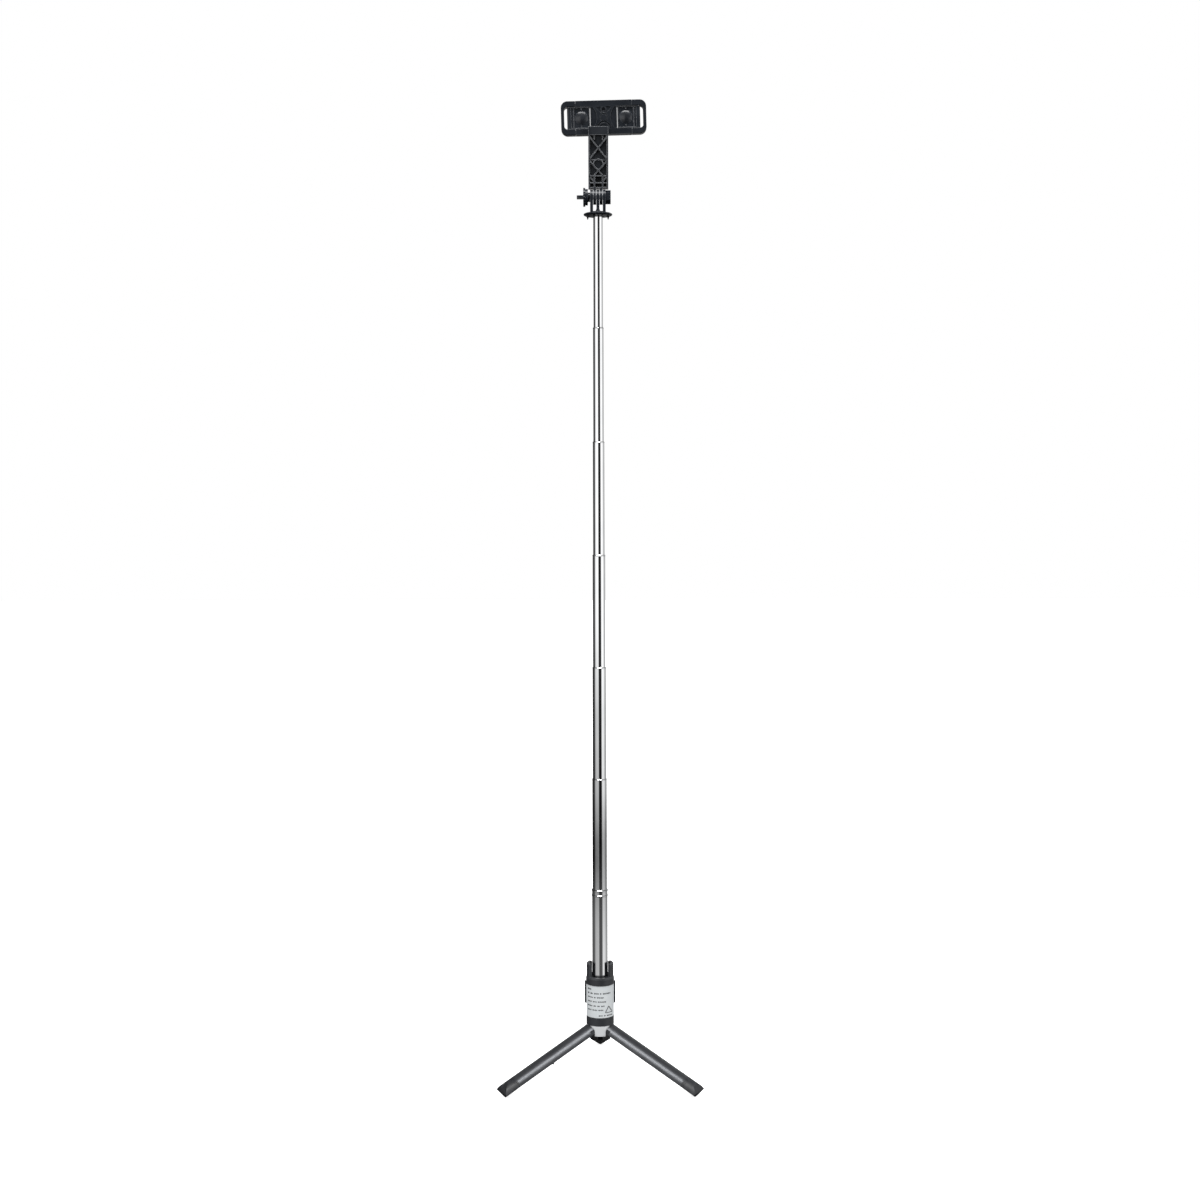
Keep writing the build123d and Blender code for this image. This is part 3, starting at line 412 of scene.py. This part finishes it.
def stroke(bm, radius, film, start, end, width):
    """A thin raised stroke on the grip's front, between two (across, height) points in metres."""
    run = Vector(end) - Vector(start)
    side = Vector((-run.y, run.x)).normalized() * width / 2
    steps = max(1, math.ceil(abs(run.x) / (0.6 * MM)))
    rows = []
    for k in range(steps + 1):
        middle = Vector(start) + run * k / steps
        rows.append([])
        for point, r in ((middle - side, radius), (middle - side, radius + film),
                         (middle + side, radius + film), (middle + side, radius)):
            a = math.asin(max(-1.0, min(1.0, point.x / radius)))
            rows[-1].append(bm.verts.new((r * math.sin(a), -r * math.cos(a), point.y)))
    for near, far in zip(rows, rows[1:]):
        for i in range(4):
            bm.faces.new((near[i], near[(i + 1) % 4], far[(i + 1) % 4], far[i]))
    bm.faces.new(rows[0][::-1])
    bm.faces.new(rows[-1])


def label_print():
    """Rows of plain marks in place of lettering, and an open triangle in place of a symbol."""
    low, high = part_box("label")
    radius, height = high[0] - INK_SINK, high[2] - low[2]
    reach = PRINT_REACH * high[0]
    bm = bmesh.new()

    def spot(across, down):
        return reach * (2 * across - 1), high[2] - down * height

    for down, tall, *words in PRINT_ROWS:
        for start, end in words:
            letters = max(1, round((end - start) / LETTER_PITCH))
            pitch = (end - start) / letters
            # The marks differ in length and height, as letters do.
            for k in range(letters):
                left = start + (end - start) * k / letters
                right = left + pitch * (0.72 if k % 3 else 0.85)
                width = tall * (0.85 if k % 2 else 1.1) * MM
                stroke(bm, radius, INK_FILM, spot(left, down), spot(right, down), width)
    corners = [spot(*corner) for corner in TRIANGLE]
    for start, end in zip(corners, corners[1:] + corners[:1]):
        stroke(bm, radius, INK_FILM, start, end, TRIANGLE_LINE)
    bmesh.ops.recalc_face_normals(bm, faces=bm.faces)
    obj = put("label_print", mesh_from("label_print", bm))
    obj.data.materials.append(ink())
    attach(obj, "handle")


# ---- studio -------------------------------------------------------------------------------

def shell(name, radius, seen_by):
    """A large ball round the set that only one kind of ray can see. Returns its Surface."""
    bm = bmesh.new()
    bmesh.ops.create_uvsphere(bm, u_segments=48, v_segments=24, radius=radius)
    obj = put(name, mesh_from(name, bm))
    obj.location = SET_MIDDLE
    for kind in ("camera", "diffuse", "glossy", "transmission", "shadow", "volume_scatter"):
        setattr(obj, f"visible_{kind}", kind == seen_by)
    s = Surface(name)
    s.nodes.remove(s.shader)
    s.shader = s.add("ShaderNodeEmission")
    s.link(s.shader.outputs[0], s.nodes["Material Output"].inputs["Surface"])
    s.material.cycles.emission_sampling = "NONE"
    obj.data.materials.append(s.material)
    return s


def reflections():
    """What polished parts mirror: white walls, a dark opening behind the viewer, and a dim floor."""
    s = shell("studio_walls", WALLS_RADIUS, "glossy")
    ray = s.add("ShaderNodeSeparateXYZ")
    s.link(s.place, ray.inputs["Vector"])
    across, ahead, up = ray.outputs
    level = s.add("ShaderNodeVectorMath", operation="LENGTH")
    flat = s.add("ShaderNodeCombineXYZ")
    s.link(across, flat.inputs["X"])
    s.link(ahead, flat.inputs["Y"])
    s.link(flat.outputs["Vector"], level.inputs[0])
    azimuth = s.math("ARCTAN2", across, s.math("MULTIPLY", ahead, -1.0))
    turn = s.remap(azimuth, -math.pi, math.pi)
    walls = s.ramp(turn, WALLS_ROUND)
    # Up the walls, which are dimmer where they meet the floor, and more so on the left.
    slope = s.math("DIVIDE", up, level.outputs["Value"])
    height = s.remap(slope, FLOOR_SLOPE, 0.0)
    left = s.ramp(height, LEFT_WALL_UP)
    right = s.ramp(height, RIGHT_WALL_UP)
    fade = s.blend(s.remap(turn, 0.5, 0.56), left, right)
    below = s.remap(slope, -0.7, FLOOR_SLOPE, 0.03, 1.0)
    overhead = s.remap(slope, 0.25, 0.7, 1.0, 0.10)
    colour = s.add("ShaderNodeMix", data_type="RGBA", blend_type="MULTIPLY")
    colour.inputs[0].default_value = 1.0
    s.link(walls, colour.inputs[6])
    s.link(fade, colour.inputs[7])
    haze = s.blend(s.remap(slope, -0.25, -0.29, 0.0, 0.09), colour.outputs[2], (0.9, 0.9, 0.9))
    s.link(haze, s.shader.inputs["Color"])
    s.link(s.math("MULTIPLY", below, overhead), s.shader.inputs["Strength"])


def ambient():
    """Fill light for matt surfaces, from the walls and the ceiling and none from the floor."""
    s = shell("studio_fill", FILL_RADIUS, "diffuse")
    ray = s.add("ShaderNodeSeparateXYZ")
    s.link(s.place, ray.inputs["Vector"])
    s.shader.inputs["Color"].default_value = (1.0, 1.0, 1.0, 1.0)
    s.link(s.remap(ray.outputs["Z"], -4.0, 6.0, 0.0, FILL_FROM_ABOVE), s.shader.inputs["Strength"])


def floor():
    """Pale floor under the stand, seen by the camera alone."""
    mesh = bpy.data.meshes.new("floor")
    corners = [(x * FLOOR_REACH, y * FLOOR_REACH, 0) for x, y in ((-1, -1), (1, -1), (1, 1), (-1, 1))]
    mesh.from_pydata(corners, [], [(0, 1, 2, 3)])
    obj = put("floor", mesh)
    obj.visible_glossy = False
    obj.visible_diffuse = False
    obj.visible_shadow = False
    s = Surface("floor_paper", Specular_IOR_Level=0.05, Emission_Strength=FLOOR_GLOW)
    s.shader.inputs["Emission Color"].default_value = (1.0, 1.0, 1.0, 1.0)
    s.colour(s.blend(s.vary(s.noise(0.6)), (0.90, 0.90, 0.90), (0.93, 0.93, 0.93)))
    s.roughness(s.vary(s.noise(0.05), 0.85, 0.95))
    mesh.materials.append(s.material)


def world():
    """Plain white beyond the set."""
    background = bpy.data.worlds.new("studio")
    scene.world = background
    background.use_nodes = True
    shade = background.node_tree.nodes["Background"]
    shade.inputs["Color"].default_value = (1.0, 1.0, 1.0, 1.0)
    shade.inputs["Strength"].default_value = 1.0


def area_light(name, place, size, power):
    """A rectangular lamp, hidden from the camera, that points at the middle of the set."""
    data = bpy.data.lights.new(name, "AREA")
    data.shape = "RECTANGLE"
    data.size, data.size_y = size
    data.energy = power
    obj = put(name, data)
    obj.location = place
    obj.rotation_mode = "QUATERNION"
    obj.rotation_quaternion = (Vector(place) - SET_MIDDLE).to_track_quat("Z", "Y")
    obj.visible_camera = False
    return obj


def studio():
    world()
    floor()
    reflections()
    ambient()
    area_light("top", TOP_PLACE, TOP_SIZE, TOP_POWER)
    for side, power in ((-1, FRONT_LEFT_POWER), (1, FRONT_RIGHT_POWER)):
        place = (side * FRONT_ACROSS, FRONT_AHEAD, FRONT_UP)
        light = area_light(f"front_{side}", place, FRONT_SIZE, power)
        light.visible_glossy = False


def camera():
    """The photograph's view: from the front, a little above the middle of the pole."""
    data = bpy.data.cameras.new("camera")
    data.sensor_width = SENSOR_MM
    data.lens = LENS_MM
    data.clip_start = 0.05
    obj = put("camera", data)
    away = Vector((0.0, -math.cos(CAMERA_TILT), math.sin(CAMERA_TILT)))
    obj.location = CAMERA_AIM + CAMERA_DISTANCE * away
    level = Matrix.Rotation(math.radians(90) - CAMERA_TILT, 4, "X")
    obj.rotation_euler = (level @ Matrix.Rotation(CAMERA_ROLL, 4, "Z")).to_euler()
    scene.camera = obj


# ---- assembly -----------------------------------------------------------------------------

dress_frame()
label_print()
studio()
camera()
scene.view_settings.view_transform = "Standard"
